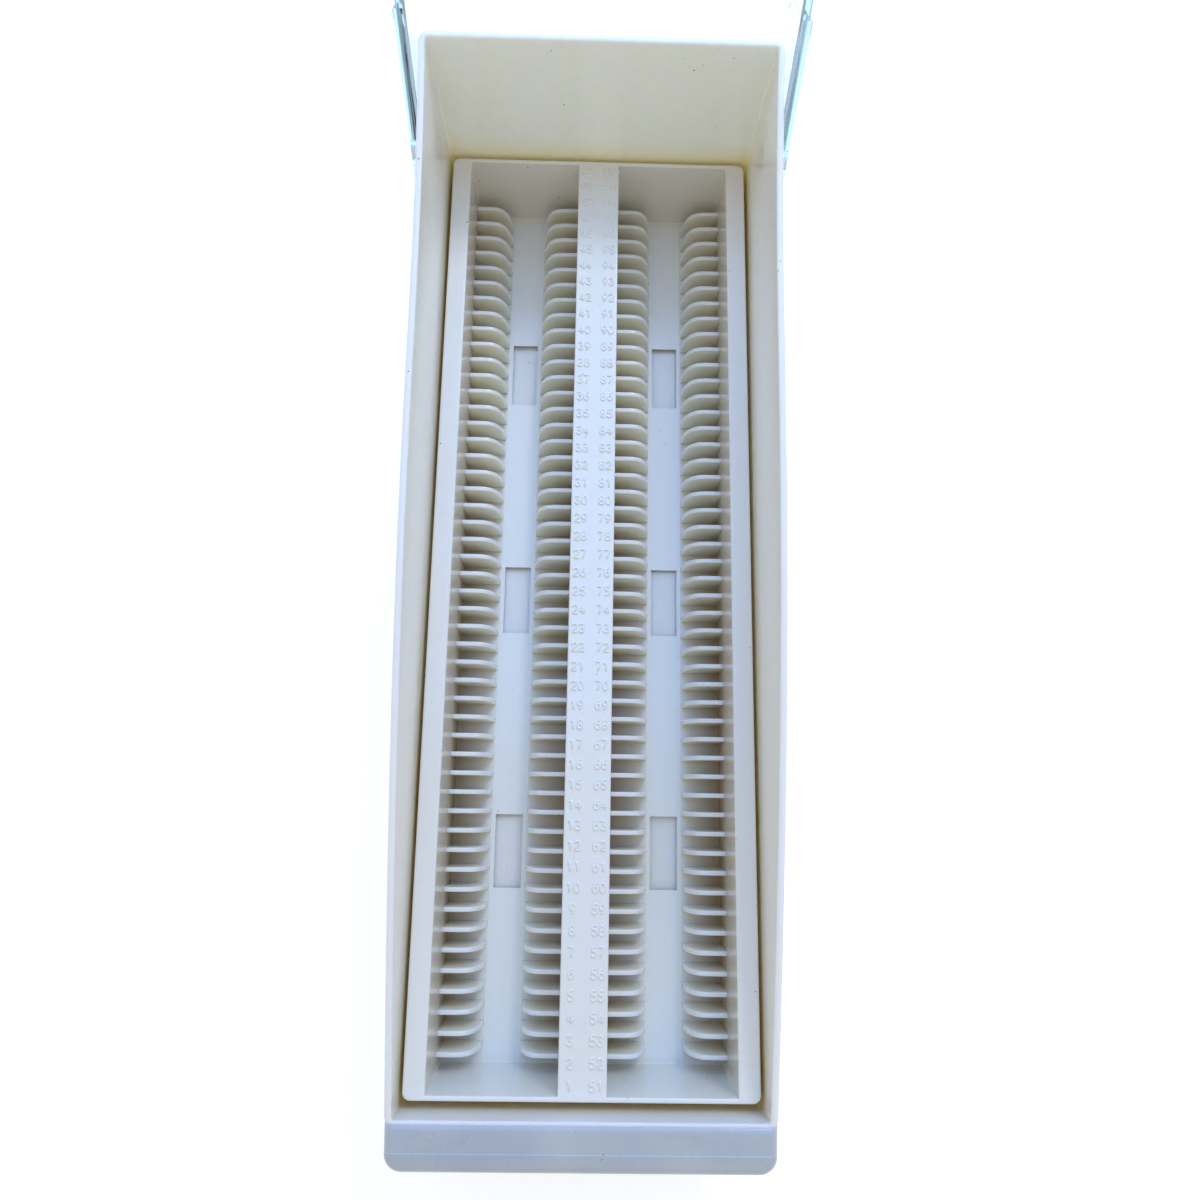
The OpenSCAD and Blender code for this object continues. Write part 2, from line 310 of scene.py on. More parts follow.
def loop_shell(x, y, z):
    """A closed skin from rows of right half loops: each row is mirrored to a full loop, the
    rows are joined, and the first and last row are closed by strips from left to right."""
    rows, half = x.shape
    points = np.stack([
        np.concatenate([x, -x[:, ::-1]], 1),
        np.concatenate([y, y[:, ::-1]], 1),
        np.concatenate([z, z[:, ::-1]], 1),
    ], -1).reshape(-1, 3)
    columns = 2 * half
    right = np.arange(half - 1)
    left = columns - 1 - right
    strip = np.stack([right, right + 1, left - 1, left], -1)
    faces = [grid_faces(rows, columns, wrap_columns=True), strip, strip + (rows - 1) * columns]
    return points, np.concatenate(faces)


def joined(parts):
    """Several (points, faces) pairs as one."""
    counts = np.cumsum([0] + [len(points) for points, _ in parts[:-1]])
    return (np.concatenate([points for points, _ in parts]),
            np.concatenate([faces + start for (_, faces), start in zip(parts, counts)]))


def mirrored(part):
    """The same surface on the left, with its faces turned to match."""
    points, faces = part
    return points * (-1, 1, 1), faces[:, ::-1]


def revolved(profile, centre, steps=48):
    """A profile of (x, radius) turned about an axis along X through centre."""
    angle = np.linspace(0, 2 * math.pi, steps, endpoint=False)
    x, radius = profile[:, 0, None], profile[:, 1, None]
    points = np.stack([
        x + 0 * angle,
        centre[1] + radius * np.cos(angle),
        centre[2] + radius * np.sin(angle),
    ], -1)
    return points.reshape(-1, 3), grid_faces(len(profile), steps, wrap_columns=True)


def new_mesh(name, part, weld=1e-6):
    """A mesh from whole arrays, with its seams merged and its faces pointing outwards."""
    points, faces = part
    mesh = bpy.data.meshes.new(name)
    mesh.from_pydata(points.tolist(), [], faces.tolist())
    bm = bmesh.new()
    bm.from_mesh(mesh)
    bmesh.ops.remove_doubles(bm, verts=bm.verts, dist=weld)
    bmesh.ops.dissolve_degenerate(bm, edges=bm.edges, dist=weld)
    bmesh.ops.recalc_face_normals(bm, faces=bm.faces)
    bm.to_mesh(mesh)
    bm.free()
    return mesh


def add_piece(name, mesh, material, body, node, sharp=50):
    """Shows a mesh as a piece that rides on a body and stands for a node."""
    mesh.polygons.foreach_set("use_smooth", np.ones(len(mesh.polygons), bool))
    mesh.set_sharp_from_angle(angle=math.radians(sharp))
    mesh.materials.clear()
    mesh.materials.append(material)
    piece = bpy.data.objects.new(name, mesh)
    bpy.context.scene.collection.objects.link(piece)
    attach(piece, body)
    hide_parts(node)
    return piece


def mark_recess(mesh, share):
    """Keeps, for each vertex, a share worked out from its place: how much painted shade it takes, mostly by
    how deep it lies in a recess; the grime follows it too.
    """
    points = np.empty(len(mesh.vertices) * 3)
    mesh.vertices.foreach_get("co", points)
    recess = mesh.attributes.new("recess", "FLOAT", "POINT")
    recess.data.foreach_set("value", np.clip(share(*points.reshape(-1, 3).T), 0, 1))


def even_shading(piece):
    """Keeps large flat faces flat beside their rounded edges."""
    piece.modifiers.new("even_shading", "WEIGHTED_NORMAL").keep_sharp = True


# Materials

def add_node(tree, kind, x=0, y=0, **values):
    """A shader node with the given attributes or input values set."""
    node = tree.nodes.new(kind)
    node.location = (x, y)
    for key, value in values.items():
        if hasattr(node, key):
            setattr(node, key, value)
        else:
            node.inputs[key.replace("_", " ")].default_value = value
    return node


def fill(node, values):
    """Sets several inputs of a node."""
    for key, value in values.items():
        node.inputs[key].default_value = value


def new_material(name):
    """A material, its node tree and its shader."""
    material = bpy.data.materials.new(name)
    material.use_nodes = True
    return material, material.node_tree, material.node_tree.nodes["Principled BSDF"]


def maths(tree, operation, first, second, x, y):
    """The result of an operation on two values."""
    node = add_node(tree, "ShaderNodeMath", x, y, operation=operation)
    tree.links.new(first, node.inputs[0])
    tree.links.new(second, node.inputs[1])
    return node.outputs[0]


def show_mix(tree, share, first, second, output):
    """Shows the first shader where the share is nothing and the second where it is one."""
    mix = add_node(tree, "ShaderNodeMixShader", 300, 100)
    for socket, value in zip(mix.inputs, (share, first, second)):
        tree.links.new(value, socket)
    tree.links.new(mix.outputs[0], tree.nodes[output].inputs["Surface"])


def seen_directly(tree):
    """One for rays from the camera, off gloss or through glass, and nothing for other light."""
    path = add_node(tree, "ShaderNodeLightPath", -600, 300).outputs
    through = maths(tree, "MAXIMUM", path["Is Glossy Ray"], path["Is Transmission Ray"], -400, 500)
    return maths(tree, "MAXIMUM", path["Is Camera Ray"], through, -200, 300)


def moulded_finish():
    """Shader group for moulded plastic: painted shade in a dark warm colour where the mesh marks it,
    faint grime, sparse specks, an uneven gloss and a faint skin, all on Object coordinates."""
    name = "moulded_finish"
    if name in bpy.data.node_groups:
        return bpy.data.node_groups[name]
    tree = bpy.data.node_groups.new(name, "ShaderNodeTree")
    for socket, kind in (("Colour", "NodeSocketColor"), ("Aged colour", "NodeSocketColor"),
                         ("Speck colour", "NodeSocketColor"), ("Recess", "NodeSocketFloat"),
                         ("Gloss low", "NodeSocketFloat"), ("Gloss high", "NodeSocketFloat")):
        tree.interface.new_socket(socket, in_out="INPUT", socket_type=kind)
    for socket, kind in (("Colour", "NodeSocketColor"), ("Roughness", "NodeSocketFloat"),
                         ("Height", "NodeSocketFloat")):
        tree.interface.new_socket(socket, in_out="OUTPUT", socket_type=kind)
    link = tree.links.new
    given = add_node(tree, "NodeGroupInput", -900).outputs
    out = add_node(tree, "NodeGroupOutput", 700).inputs
    object_place = add_node(tree, "ShaderNodeTexCoord", -900, -400).outputs["Object"]

    def noise(x, y, **values):
        """Noise over the object."""
        node = add_node(tree, "ShaderNodeTexNoise", x, y, **values)
        link(object_place, node.inputs["Vector"])
        return node.outputs["Fac"]

    def spread(value, x, y, **values):
        """A value carried from one range to another."""
        node = add_node(tree, "ShaderNodeMapRange", x, y, **values)
        link(value, node.inputs["Value"])
        return node.outputs["Result"]

    def mixed(share, first, second, x, y):
        """Two colours mixed by a share."""
        node = add_node(tree, "ShaderNodeMix", x, y, data_type="RGBA")
        link(share, node.inputs["Factor"])
        link(first, node.inputs[6])
        link(second, node.inputs[7])
        return node.outputs[2]

    # Painted shade: where the mesh marks it, the colour turns towards the dark warm shade colour, broken up
    # by slow noise
    slow = noise(-700, -500, Scale=38.0, Detail=3.0, Roughness=0.55)
    patch = spread(slow, -500, -560, From_Min=0.3, From_Max=0.75, To_Min=0.75, To_Max=1.0)
    aged = maths(tree, "MULTIPLY", given["Recess"], patch, -300, -400)
    shaded = mixed(aged, given["Colour"], given["Aged colour"], -100, 0)

    # Grime lies in faint streaks, more of them where painted shade is marked
    cloud = noise(-700, 200, Scale=130.0, Detail=6.0, Roughness=0.7, Distortion=1.5)
    streak = spread(cloud, -500, 200, From_Min=0.56, From_Max=0.8, To_Max=0.2)
    share = spread(given["Recess"], -500, 400, To_Min=0.22, To_Max=1.0)
    grime = maths(tree, "MULTIPLY", streak, share, -300, 200)
    grimy = mixed(grime, shaded, given["Speck colour"], 20, 100)

    # Specks are the peaks of fine noise, thinned out by the slow noise
    fine = noise(-700, -800, Scale=900.0, Detail=2.0, Roughness=0.5)
    peaks = spread(fine, -500, -800, From_Min=0.75, From_Max=0.80)
    specks = maths(tree, "MULTIPLY", peaks, patch, -300, -700)
    link(mixed(specks, grimy, given["Speck colour"], 150, 0), out["Colour"])

    # Gloss is uneven where hands and slides have rubbed
    rubbed = noise(-700, -1050, Scale=95.0, Detail=4.0, Roughness=0.6)
    gloss = spread(rubbed, -300, -1000, From_Min=0.3, From_Max=0.7)
    link(given["Gloss low"], gloss.node.inputs["To Min"])
    link(given["Gloss high"], gloss.node.inputs["To Max"])
    link(gloss, out["Roughness"])

    # The moulded skin has a faint, fine orange peel
    link(noise(-300, -1250, Scale=700.0, Detail=1.0), out["Height"])
    return tree


# Each ivory plastic: fresh colour, painted shade colour, least and greatest roughness, share of light that
# spreads inside
IVORIES = {
    "moulded_base": ("shell", "amber", 0.12, 0.22, 0.8),
    "moulded_lip": ("ivory", "worn", 0.2, 0.34, 0.0),
    "moulded_rack": ("ivory", "aged", 0.14, 0.26, 0.0),
    "moulded_fins": ("thin", "aged", 0.14, 0.26, 0.9),
}


def ivory_plastic(context, name):
    """Satin plastic with the moulded finish, in its painted shade colour where the mesh marks shade."""
    if name in bpy.data.materials:
        return bpy.data.materials[name]
    colours = context.scene.slide_box.colours
    fresh, aged, gloss_low, gloss_high, glow = IVORIES[name]
    material, tree, shader = new_material(name)
    link = tree.links.new
    fill(shader, {
        "IOR": 1.55, "Subsurface Weight": glow,
        "Subsurface Radius": (1.0, 0.85, 0.55), "Subsurface Scale": 3 * MM,
    })
    finish = add_node(tree, "ShaderNodeGroup", -600, 0, node_tree=moulded_finish())
    fill(finish, {
        "Colour": (*getattr(colours, fresh), 1), "Aged colour": (*getattr(colours, aged), 1),
        "Speck colour": (*colours.speck, 1), "Gloss low": gloss_low, "Gloss high": gloss_high,
    })
    recess = add_node(tree, "ShaderNodeAttribute", -900, 0, attribute_name="recess")
    link(recess.outputs["Fac"], finish.inputs["Recess"])
    bump = add_node(tree, "ShaderNodeBump", -300, -300, Strength=0.12, Distance=0.05 * MM)
    link(finish.outputs["Colour"], shader.inputs["Base Color"])
    link(finish.outputs["Roughness"], shader.inputs["Roughness"])
    link(finish.outputs["Height"], bump.inputs["Height"])
    link(bump.outputs["Normal"], shader.inputs["Normal"])
    return material


def clear_plastic(context):
    """Clear plastic with faint scuffs. Light for what is behind it, and light that has long been
    caught inside its walls, passes straight through."""
    name = "clear_moulding"
    if name in bpy.data.materials:
        return bpy.data.materials[name]
    colours = context.scene.slide_box.colours
    material, tree, shader = new_material(name)
    link = tree.links.new
    fill(shader, {"Base Color": (*colours.clear, 1), "Transmission Weight": 1.0, "IOR": 1.52})
    object_place = add_node(tree, "ShaderNodeTexCoord", -1100).outputs["Object"]
    streaks = add_node(tree, "ShaderNodeMapping", -900, 0, Scale=(1.0, 0.12, 0.12))
    link(object_place, streaks.inputs["Vector"])
    scuffs = add_node(tree, "ShaderNodeTexNoise", -700, 0, Scale=420.0, Detail=5.0, Roughness=0.7)
    link(streaks.outputs["Vector"], scuffs.inputs["Vector"])
    haze = add_node(
        tree, "ShaderNodeMapRange", -450, 0, From_Min=0.5, From_Max=0.8, To_Min=0.015, To_Max=0.12,
    )
    link(scuffs.outputs["Fac"], haze.inputs["Value"])
    link(haze.outputs["Result"], shader.inputs["Roughness"])
    path = add_node(tree, "ShaderNodeLightPath", -200, 400).outputs
    caught = add_node(tree, "ShaderNodeMath", 0, 500, operation="GREATER_THAN")
    caught.inputs[1].default_value = MOST_BOUNCES
    link(path["Ray Depth"], caught.inputs[0])
    through = maths(tree, "MAXIMUM", path["Is Shadow Ray"], caught.outputs[0], 150, 400)
    passing = add_node(tree, "ShaderNodeBsdfTransparent", 0, -500, Color=(*colours.clear, 1))
    show_mix(tree, through, shader.outputs[0], passing.outputs[0], "Material Output")
    depth = add_node(
        tree, "ShaderNodeVolumeAbsorption", 300, -300, Density=25.0, Color=(*colours.clear_depth, 1),
    )
    link(depth.outputs[0], tree.nodes["Material Output"].inputs["Volume"])
    return material


# Places shared by the base and the lid

def base_outline(box):
    """Half width, front and back of the base's outer faces, set round the rack."""
    around = box.base.wall_t
    return (RACK_HIGH[0] + box.base.side_gap + around,
            RACK_LOW[1] - box.base.front_gap - around,
            RACK_HIGH[1] + box.base.back_gap + around)


def rim_height(box, y):
    """Height of the base's rim: level at the front and the back wall, and between them a cubic
    curve with two handles that swells up from the front and rises again at the back."""
    base = box.base
    _, front, back = base_outline(box)
    low = np.array([front + base.wall_t, RACK_TOP + base.rim_front])
    high = np.array([back - base.wall_t, BASE_HIGH[2]])
    size = np.array([back - front, high[1] - low[1]])
    first, second = low + RIM_HANDLES * size
    u = np.linspace(0, 1, 200)[:, None]
    curve = (1 - u) ** 3 * low + 3 * u * (1 - u) ** 2 * first + 3 * u * u * (1 - u) * second + u ** 3 * high
    return np.interp(y, curve[:, 0], curve[:, 1])


class SLIDEBOX_OT_base_tray(bpy.types.Operator):
    """Adds the base's tray, with its swelling rim and the dimples behind the hinge studs"""

    bl_idname = "slide_box.base_tray"
    bl_label = "Base tray"

    def execute(self, context):
        """A wall profile carried round the base's plan. Heights on the wall are shares of the
        rim's height at each point, and the dimples push the inner wall out by
        depth * (1 - (r / radius)^2)."""
        box = context.scene.slide_box
        base = box.base
        half_w, front, back = base_outline(box)
        middle, half_l = (front + back) / 2, (back - front) / 2 - base.corner_r
        across_dimple = np.linspace(-1.3, 1.3, 15) * base.dimple_r
        near_hinge = (HINGE[1] + across_dimple - middle) / half_l
        along = np.concatenate([np.linspace(-0.99, 0.99, 90), near_hinge])
        loop = half_loop(np.sort(along))

        # Rows of the profile: inset from the outer face, fixed height, share of the rim's height
        floor = RACK_FOOT
        foot = rounded_path([(base.foot_r * 2, 0), (0, 0), (0, base.foot_r * 2)], [base.foot_r])
        top = rounded_path(
            [(0, -base.rim_outer_r * 1.5), (0, 0), (base.wall_t, 0), (base.wall_t, -base.rim_inner_r * 1.5)],
            [base.rim_outer_r, base.rim_inner_r],
        )
        leg = base.floor_r * 1.5
        bottom = rounded_path(
            [(base.wall_t, floor + leg), (base.wall_t, floor), (base.wall_t + leg, floor)], [base.floor_r],
        )
        wall_h = rim_height(box, HINGE[1]) - floor
        around = (HINGE[2] - floor + across_dimple) / wall_h
        wall = np.sort(np.concatenate([np.linspace(0.9, 0.1, 7), around]))[::-1]
        inset = np.concatenate([foot[:, 0], top[:, 0], np.full(wall.size, base.wall_t), bottom[:, 0]])
        fixed = np.concatenate([foot[:, 1], top[:, 1], floor * (1 - wall), bottom[:, 1]])
        share = np.concatenate([np.zeros(len(foot)), np.ones(len(top)), wall, np.zeros(len(bottom))])

        radius = np.maximum(base.corner_r - inset, base.rim_inner_r)
        x, y = loop_points(loop, half_w - inset, front + inset, back - inset, radius)
        z = fixed[:, None] + share[:, None] * rim_height(box, y)
        on_inner = (np.abs(inset - base.wall_t) < TINY)[:, None]
        reach = ((y - HINGE[1]) ** 2 + (z - HINGE[2]) ** 2) / base.dimple_r ** 2
        x = x + on_inner * base.dimple_d * np.clip(1 - reach, 0, 1)
        x = x + base.lean * np.clip((z - RACK_TOP) / (BASE_HIGH[2] - RACK_TOP), 0, 1)
        mesh = new_mesh("base_tray", loop_shell(x, y, z))
        inner_w, inner_front, inner_back = half_w - base.wall_t, front + base.wall_t, back - base.wall_t

        # Painted warm shade, strongest in the gap below the rack's top
        def recess(x, y, z):
            """Faint on the inner walls and the floor, full in the gap beside the rack, nothing outside."""
            slack = base.lean + base.dimple_d + 0.05 * MM
            inside = (np.abs(x) < inner_w + slack) & (y > inner_front - NEAR) & (y < inner_back + NEAR)
            on_floor = (z < floor + NEAR) & (np.abs(x) < inner_w - base.floor_r)
            floor_share, faint, fade = 0.15, 0.02, 6 * MM
            in_gap = np.clip((RACK_TOP - z) / fade + 0.4, 0, 1)
            return inside * np.where(on_floor, floor_share, faint + in_gap)

        mark_recess(mesh, recess)
        plastic = ivory_plastic(context, "moulded_base")
        even_shading(add_piece("base_tray", mesh, plastic, "base", "base"))
        return {"FINISHED"}


class SLIDEBOX_OT_front_lip(bpy.types.Operator):
    """Adds the creased lip along the front of the base"""

    bl_idname = "slide_box.front_lip"
    bl_label = "Front lip"

    def execute(self, context):
        """A skirt and its round edge carried along the lip's plan, closed above by level strips
        whose height falls from the rim to the crease and on to the nose. It is then thickened."""
        box = context.scene.slide_box
        base = box.base
        half_w, front, _ = base_outline(box)
        rim = RACK_TOP + base.rim_front
        nose = front - base.lip_w
        root = front + base.wall_t * 0.6
        crease = front - base.crease
        profile = rounded_path([(0, -base.lip_skirt), (0, 0), (base.nose_r * 1.5, 0)], [base.nose_r], 6)
        inset, drop = profile[:-1, 0], profile[:-1, 1]
        turn = np.linspace(-math.pi / 2, 0, 9)
        step_low, step_high = crease - 0.1 * MM, crease + 0.06 * MM
        near_crease = (step_low, step_high, crease + 0.3 * MM)
        side_y = np.sort(np.concatenate([np.linspace(nose + base.lip_r, root, 6)[1:], near_crease]))
        radius = np.maximum(base.lip_r - inset, 0.2 * MM)[:, None]
        x_turn = half_w - inset[:, None] - radius + radius * np.cos(turn)
        y_turn = nose + inset[:, None] + radius + radius * np.sin(turn)
        x = np.concatenate([x_turn, np.repeat((half_w - inset)[:, None], side_y.size, 1)], 1)
        y = np.concatenate([y_turn, np.repeat(side_y[None], inset.size, 0)], 1)
        fall = np.interp(
            y, [nose, step_low, step_high, front, root],
            [-base.lip_fall, -base.crease_fall + base.crease_step, -base.crease_fall, 0, 0],
        )
        stretch = (drop + base.lip_skirt) / base.lip_skirt
        z = rim + drop[:, None] + fall * stretch[:, None]
        half = x.shape[1]
        points, faces = loop_shell(x, y, z)
        at = faces % (2 * half)
        across_root = np.isin(at, (half - 1, half)).all(1)
        skirt_foot = (faces < 2 * half).all(1)
        mesh = new_mesh("front_lip", (points, faces[~(across_root | skirt_foot)]))

        def wear(x, y, z):
            """Painted shade, full on the lip's top and fading down its skirt."""
            top = rim - np.interp(y, [nose, crease, front], [base.lip_fall, base.crease_fall, 0])
            fade = 2.5 * MM
            return 1 - (top - z) / fade

        mark_recess(mesh, wear)
        plastic = ivory_plastic(context, "moulded_lip")
        lip = add_piece("front_lip", mesh, plastic, "base", "base")
        thickness = lip.modifiers.new("thickness", "SOLIDIFY")
        thickness.thickness = base.wall_t * 0.8
        thickness.offset = -1
        even_shading(lip)
        return {"FINISHED"}


class SLIDEBOX_OT_hinge_studs(bpy.types.Operator):
    """Adds the two hinge studs with their collars"""

    bl_idname = "slide_box.hinge_studs"
    bl_label = "Hinge studs"

    def execute(self, context):
        """A profile of collar, stud and bevelled tip turned about the hinge's axis, on both sides."""
        box = context.scene.slide_box
        base = box.base
        wall, _, _ = base_outline(box)
        end = BASE_HIGH[0]
        soft = 0.1 * MM
        profile = np.array([
            (wall - base.wall_t / 2, 0), (wall - base.wall_t / 2, base.collar_r),
            (wall + base.collar_t - soft, base.collar_r), (wall + base.collar_t, base.collar_r - soft),
            (wall + base.collar_t, base.stud_r + soft), (wall + base.collar_t + soft, base.stud_r),
            (end - base.stud_tip, base.stud_r), (end - soft, base.stud_r - base.stud_tip + soft),
            (end, base.stud_r - base.stud_tip - soft), (end, 0),
        ])
        right = revolved(profile, HINGE)
        mesh = new_mesh("hinge_studs", joined([right, mirrored(right)]))
        plastic = ivory_plastic(context, "moulded_base")
        even_shading(add_piece("hinge_studs", mesh, plastic, "base", "base", sharp=35))
        return {"FINISHED"}


def rack_lines(box):
    """Columns of the rack's grid from the middle out, and rows from the middle to the end.
    Each is (place, depth of the pocket, depth of the outer edge, one below the webs and floors)."""
    rack = box.rack
    bar, out = rack.bar_w / 2, rack.bar_w / 2 + rack.channel_w
    middle, deep = (bar + out) / 2, rack.depth + rack.strip_sink
    inner, outer = middle - rack.strip_w / 2, middle + rack.strip_w / 2
    soft = 0.12 * MM
    pocket = rounded_path(
        [(bar - rack.edge_r * 1.5, 0), (bar, 0), (bar + rack.draft, rack.depth),
         (inner, rack.depth), (inner, deep), (outer, deep), (outer, rack.depth),
         (out - rack.draft, rack.depth), (out, 0), (out + rack.edge_r * 1.5, 0)],
        [rack.edge_r, rack.floor_r, soft, soft, soft, soft, rack.floor_r, rack.edge_r],
    )
    half_w = rack.window_w / 2
    windows = middle + np.array([-half_w - rack.undercut, -half_w, half_w, half_w + rack.undercut])
    split = np.searchsorted(pocket[:, 0], middle)
    pocket = np.concatenate([pocket[:split], np.stack([windows, np.full(4, deep)], -1), pocket[split:]])
    columns = line_table(box, pocket, RACK_HIGH[0], (bar - rack.web_t, out + rack.web_t))

    end = rack.slots * rack.pitch / 2
    step = (2 * end - 2 * rack.window_end) / (rack.windows - 1)
    centres = (np.arange(rack.windows) - (rack.windows - 1) / 2) * step
    half_l = rack.window_l / 2
    steps = np.array([-half_l - rack.undercut, -half_l, half_l, half_l + rack.undercut])
    edges = np.sort((centres[:, None] + steps).ravel())
    edges = edges[edges > 0]
    wall = rounded_path(
        [(end - rack.draft - rack.floor_r * 1.5, deep), (end - rack.draft, deep),
         (end, 0), (end + rack.edge_r, 0)],
        [rack.floor_r * 0.4, rack.edge_r * 0.8],
    )
    near_end = end - 2 * MM  # One more row, so that what is marked on the end wall stays near it
    edges = np.append(edges, near_end)
    pocket = np.concatenate([np.stack([edges, np.full(edges.size, deep)], -1), wall])
    rows = line_table(box, pocket, RACK_HIGH[1], (end,))
    return columns, rows, middle, centres


def line_table(box, pocket, edge, steps):
    """Joins the pocket's lines with those of the outer edge and of the steps under the rack."""
    rack = box.rack
    rim = rounded_path(
        [(edge - rack.corner_r, 0), (edge, 0), (edge, rack.plate_t)], [rack.rim_r],
    )
    before = np.linspace(edge - rack.corner_r, edge - rack.rim_r, 4)[1:-1]
    rim = np.concatenate([rim[:1], np.stack([before, 0 * before], -1), rim[1:]])
    rim = rim[rim[:, 0] > pocket[-1, 0]]
    pocket_lines = np.stack([pocket[:, 0], pocket[:, 1], 0 * pocket[:, 0]], -1)
    rim_lines = np.stack([rim[:, 0], 0 * rim[:, 0], rim[:, 1]], -1)
    lines = np.concatenate([pocket_lines, rim_lines])
    low = np.zeros(len(lines))
    for step in steps:
        at = np.searchsorted(lines[:, 0], step - TINY)
        depth = np.interp(step, pocket[:, 0], pocket[:, 1])
        lines = np.concatenate([lines[:at], [[step, depth, 0.0]] * 2, lines[at:]])
        last = low[at - 1] if at else 0.0
        low = np.concatenate([low[:at], [last, 1 - last], 1 - low[at:]])
    return np.column_stack([lines, low])


def wall_share(box, x):
    """One at a channel's walls, falling to nothing where the fins end."""
    rack = box.rack
    from_bar = np.abs(x) - rack.bar_w / 2
    nearest = np.minimum(from_bar, rack.channel_w - from_bar)
    return np.clip(1 - 2 * nearest / (rack.channel_w - rack.strip_w), 0, 1)


class SLIDEBOX_OT_rack_body(bpy.types.Operator):
    """Adds the rack's body: number bar, flanges, channels, floor strips and windows"""

    bl_idname = "slide_box.rack_body"
    bl_label = "Rack body"

    def execute(self, context):
        """Two skins over one grid of x and y. The upper lies at min(pocket in x, pocket in y) plus
        max(edge in x, edge in y) below the top, the lower at the plate's underside or, below the
        channels, their webs and the end walls, at the foot. Corners are drawn onto a circle, and
        windows are cut through both."""
        box = context.scene.slide_box
        rack = box.rack
        columns, rows, middle, centres = rack_lines(box)
        across = np.concatenate([columns[::-1] * (-1, 1, 1, 1), columns])
        along = np.concatenate([rows[::-1] * (-1, 1, 1, 1), rows])
        x, y = np.meshgrid(across[:, 0], along[:, 0])
        upper = np.minimum(across[:, 1], along[:, 1, None]) + np.maximum(across[:, 2], along[:, 2, None])
        height = RACK_TOP - RACK_FOOT
        lower = rack.plate_t + (height - rack.plate_t) * np.maximum(across[:, 3], along[:, 3, None])

        # A border of closing points ties the lower skin to the upper one
        grid = [np.pad(a, 1, mode="edge") for a in (x, y)]
        upper = np.pad(upper, 1, mode="edge")
        lower = np.pad(lower, 1, constant_values=rack.plate_t)

        over = [np.clip((np.abs(a) - (edge - rack.corner_r)) / rack.corner_r, 0, 1)
                for a, edge in zip(grid, RACK_HIGH[:2])]
        reach = np.hypot(*over)
        pull = np.where(np.minimum(*over) > 0, np.maximum(*over) / np.maximum(reach, TINY), 1)
        grid = [a - np.sign(a) * rack.corner_r * o * (1 - pull) for a, o in zip(grid, over)]

        faces = grid_faces(*upper.shape)
        skins = []
        for depth, wider in ((upper, 0), (lower, rack.undercut)):
            points = np.stack([*grid, RACK_TOP - depth], -1).reshape(-1, 3)
            heart = points[faces].mean(1)
            in_x = np.abs(np.abs(heart[:, 0]) - middle) < rack.window_w / 2 + wider
            in_y = (np.abs(heart[:, 1, None] - centres) < rack.window_l / 2 + wider).any(1)
            skins.append((points, faces[~(in_x & in_y)]))
        deep = rack.depth + rack.strip_sink
        shelf = deep + rack.window_t
        corner = np.array([(-1, -1), (1, -1), (1, 1), (-1, 1)])
        window = np.array([rack.window_w, rack.window_l])
        rings = ((0, deep), (0, shelf), (rack.undercut, shelf), (rack.undercut, height))
        for centre_x in (-middle, middle):
            for centre_y in centres:
                walls = [
                    np.column_stack([
                        (centre_x, centre_y) + corner * (window / 2 + wider), np.full(4, RACK_TOP - depth),
                    ])
                    for wider, depth in rings
                ]
                skins.append((np.concatenate(walls), grid_faces(len(rings), 4, wrap_columns=True)))
        mesh = new_mesh("rack_body", joined(skins))

        def recess(x, y, z):
            """Painted shade, growing down the channel walls beside the fins and below the windows' edges,
            less on the end and outer walls, nothing on the strips."""
            depth = RACK_TOP - z
            outer_end = np.abs(y) > RACK_HIGH[1] - 0.3 * MM
            inside = ~outer_end & (depth < deep + NEAR)
            fall = np.clip((depth - rack.depth) / rack.fin_h + 1, 0, 1)
            at_end = np.abs(y) > rack.slots * rack.pitch / 2 - 1 * MM
            end_wall = 0.04 + 0.06 * fall
            beside_fins = (0.1 + 2 * fall) * wall_share(box, x)
            channel = np.where(at_end, end_wall, beside_fins)
            outer_side = np.abs(x) > rack.bar_w / 2 + rack.channel_w + 0.9 * rack.web_t
            outer = (outer_side | outer_end) & (depth > 0.9 * rack.plate_t)
            outer_wall = 0.3
            under = (depth > deep + NEAR) & ~outer
            return np.maximum(inside * channel, np.where(outer, outer_wall, under))

        mark_recess(mesh, recess)
        plastic = ivory_plastic(context, "moulded_rack")
        even_shading(add_piece("rack_body", mesh, plastic, "rack", "rack", sharp=60))
        return {"FINISHED"}


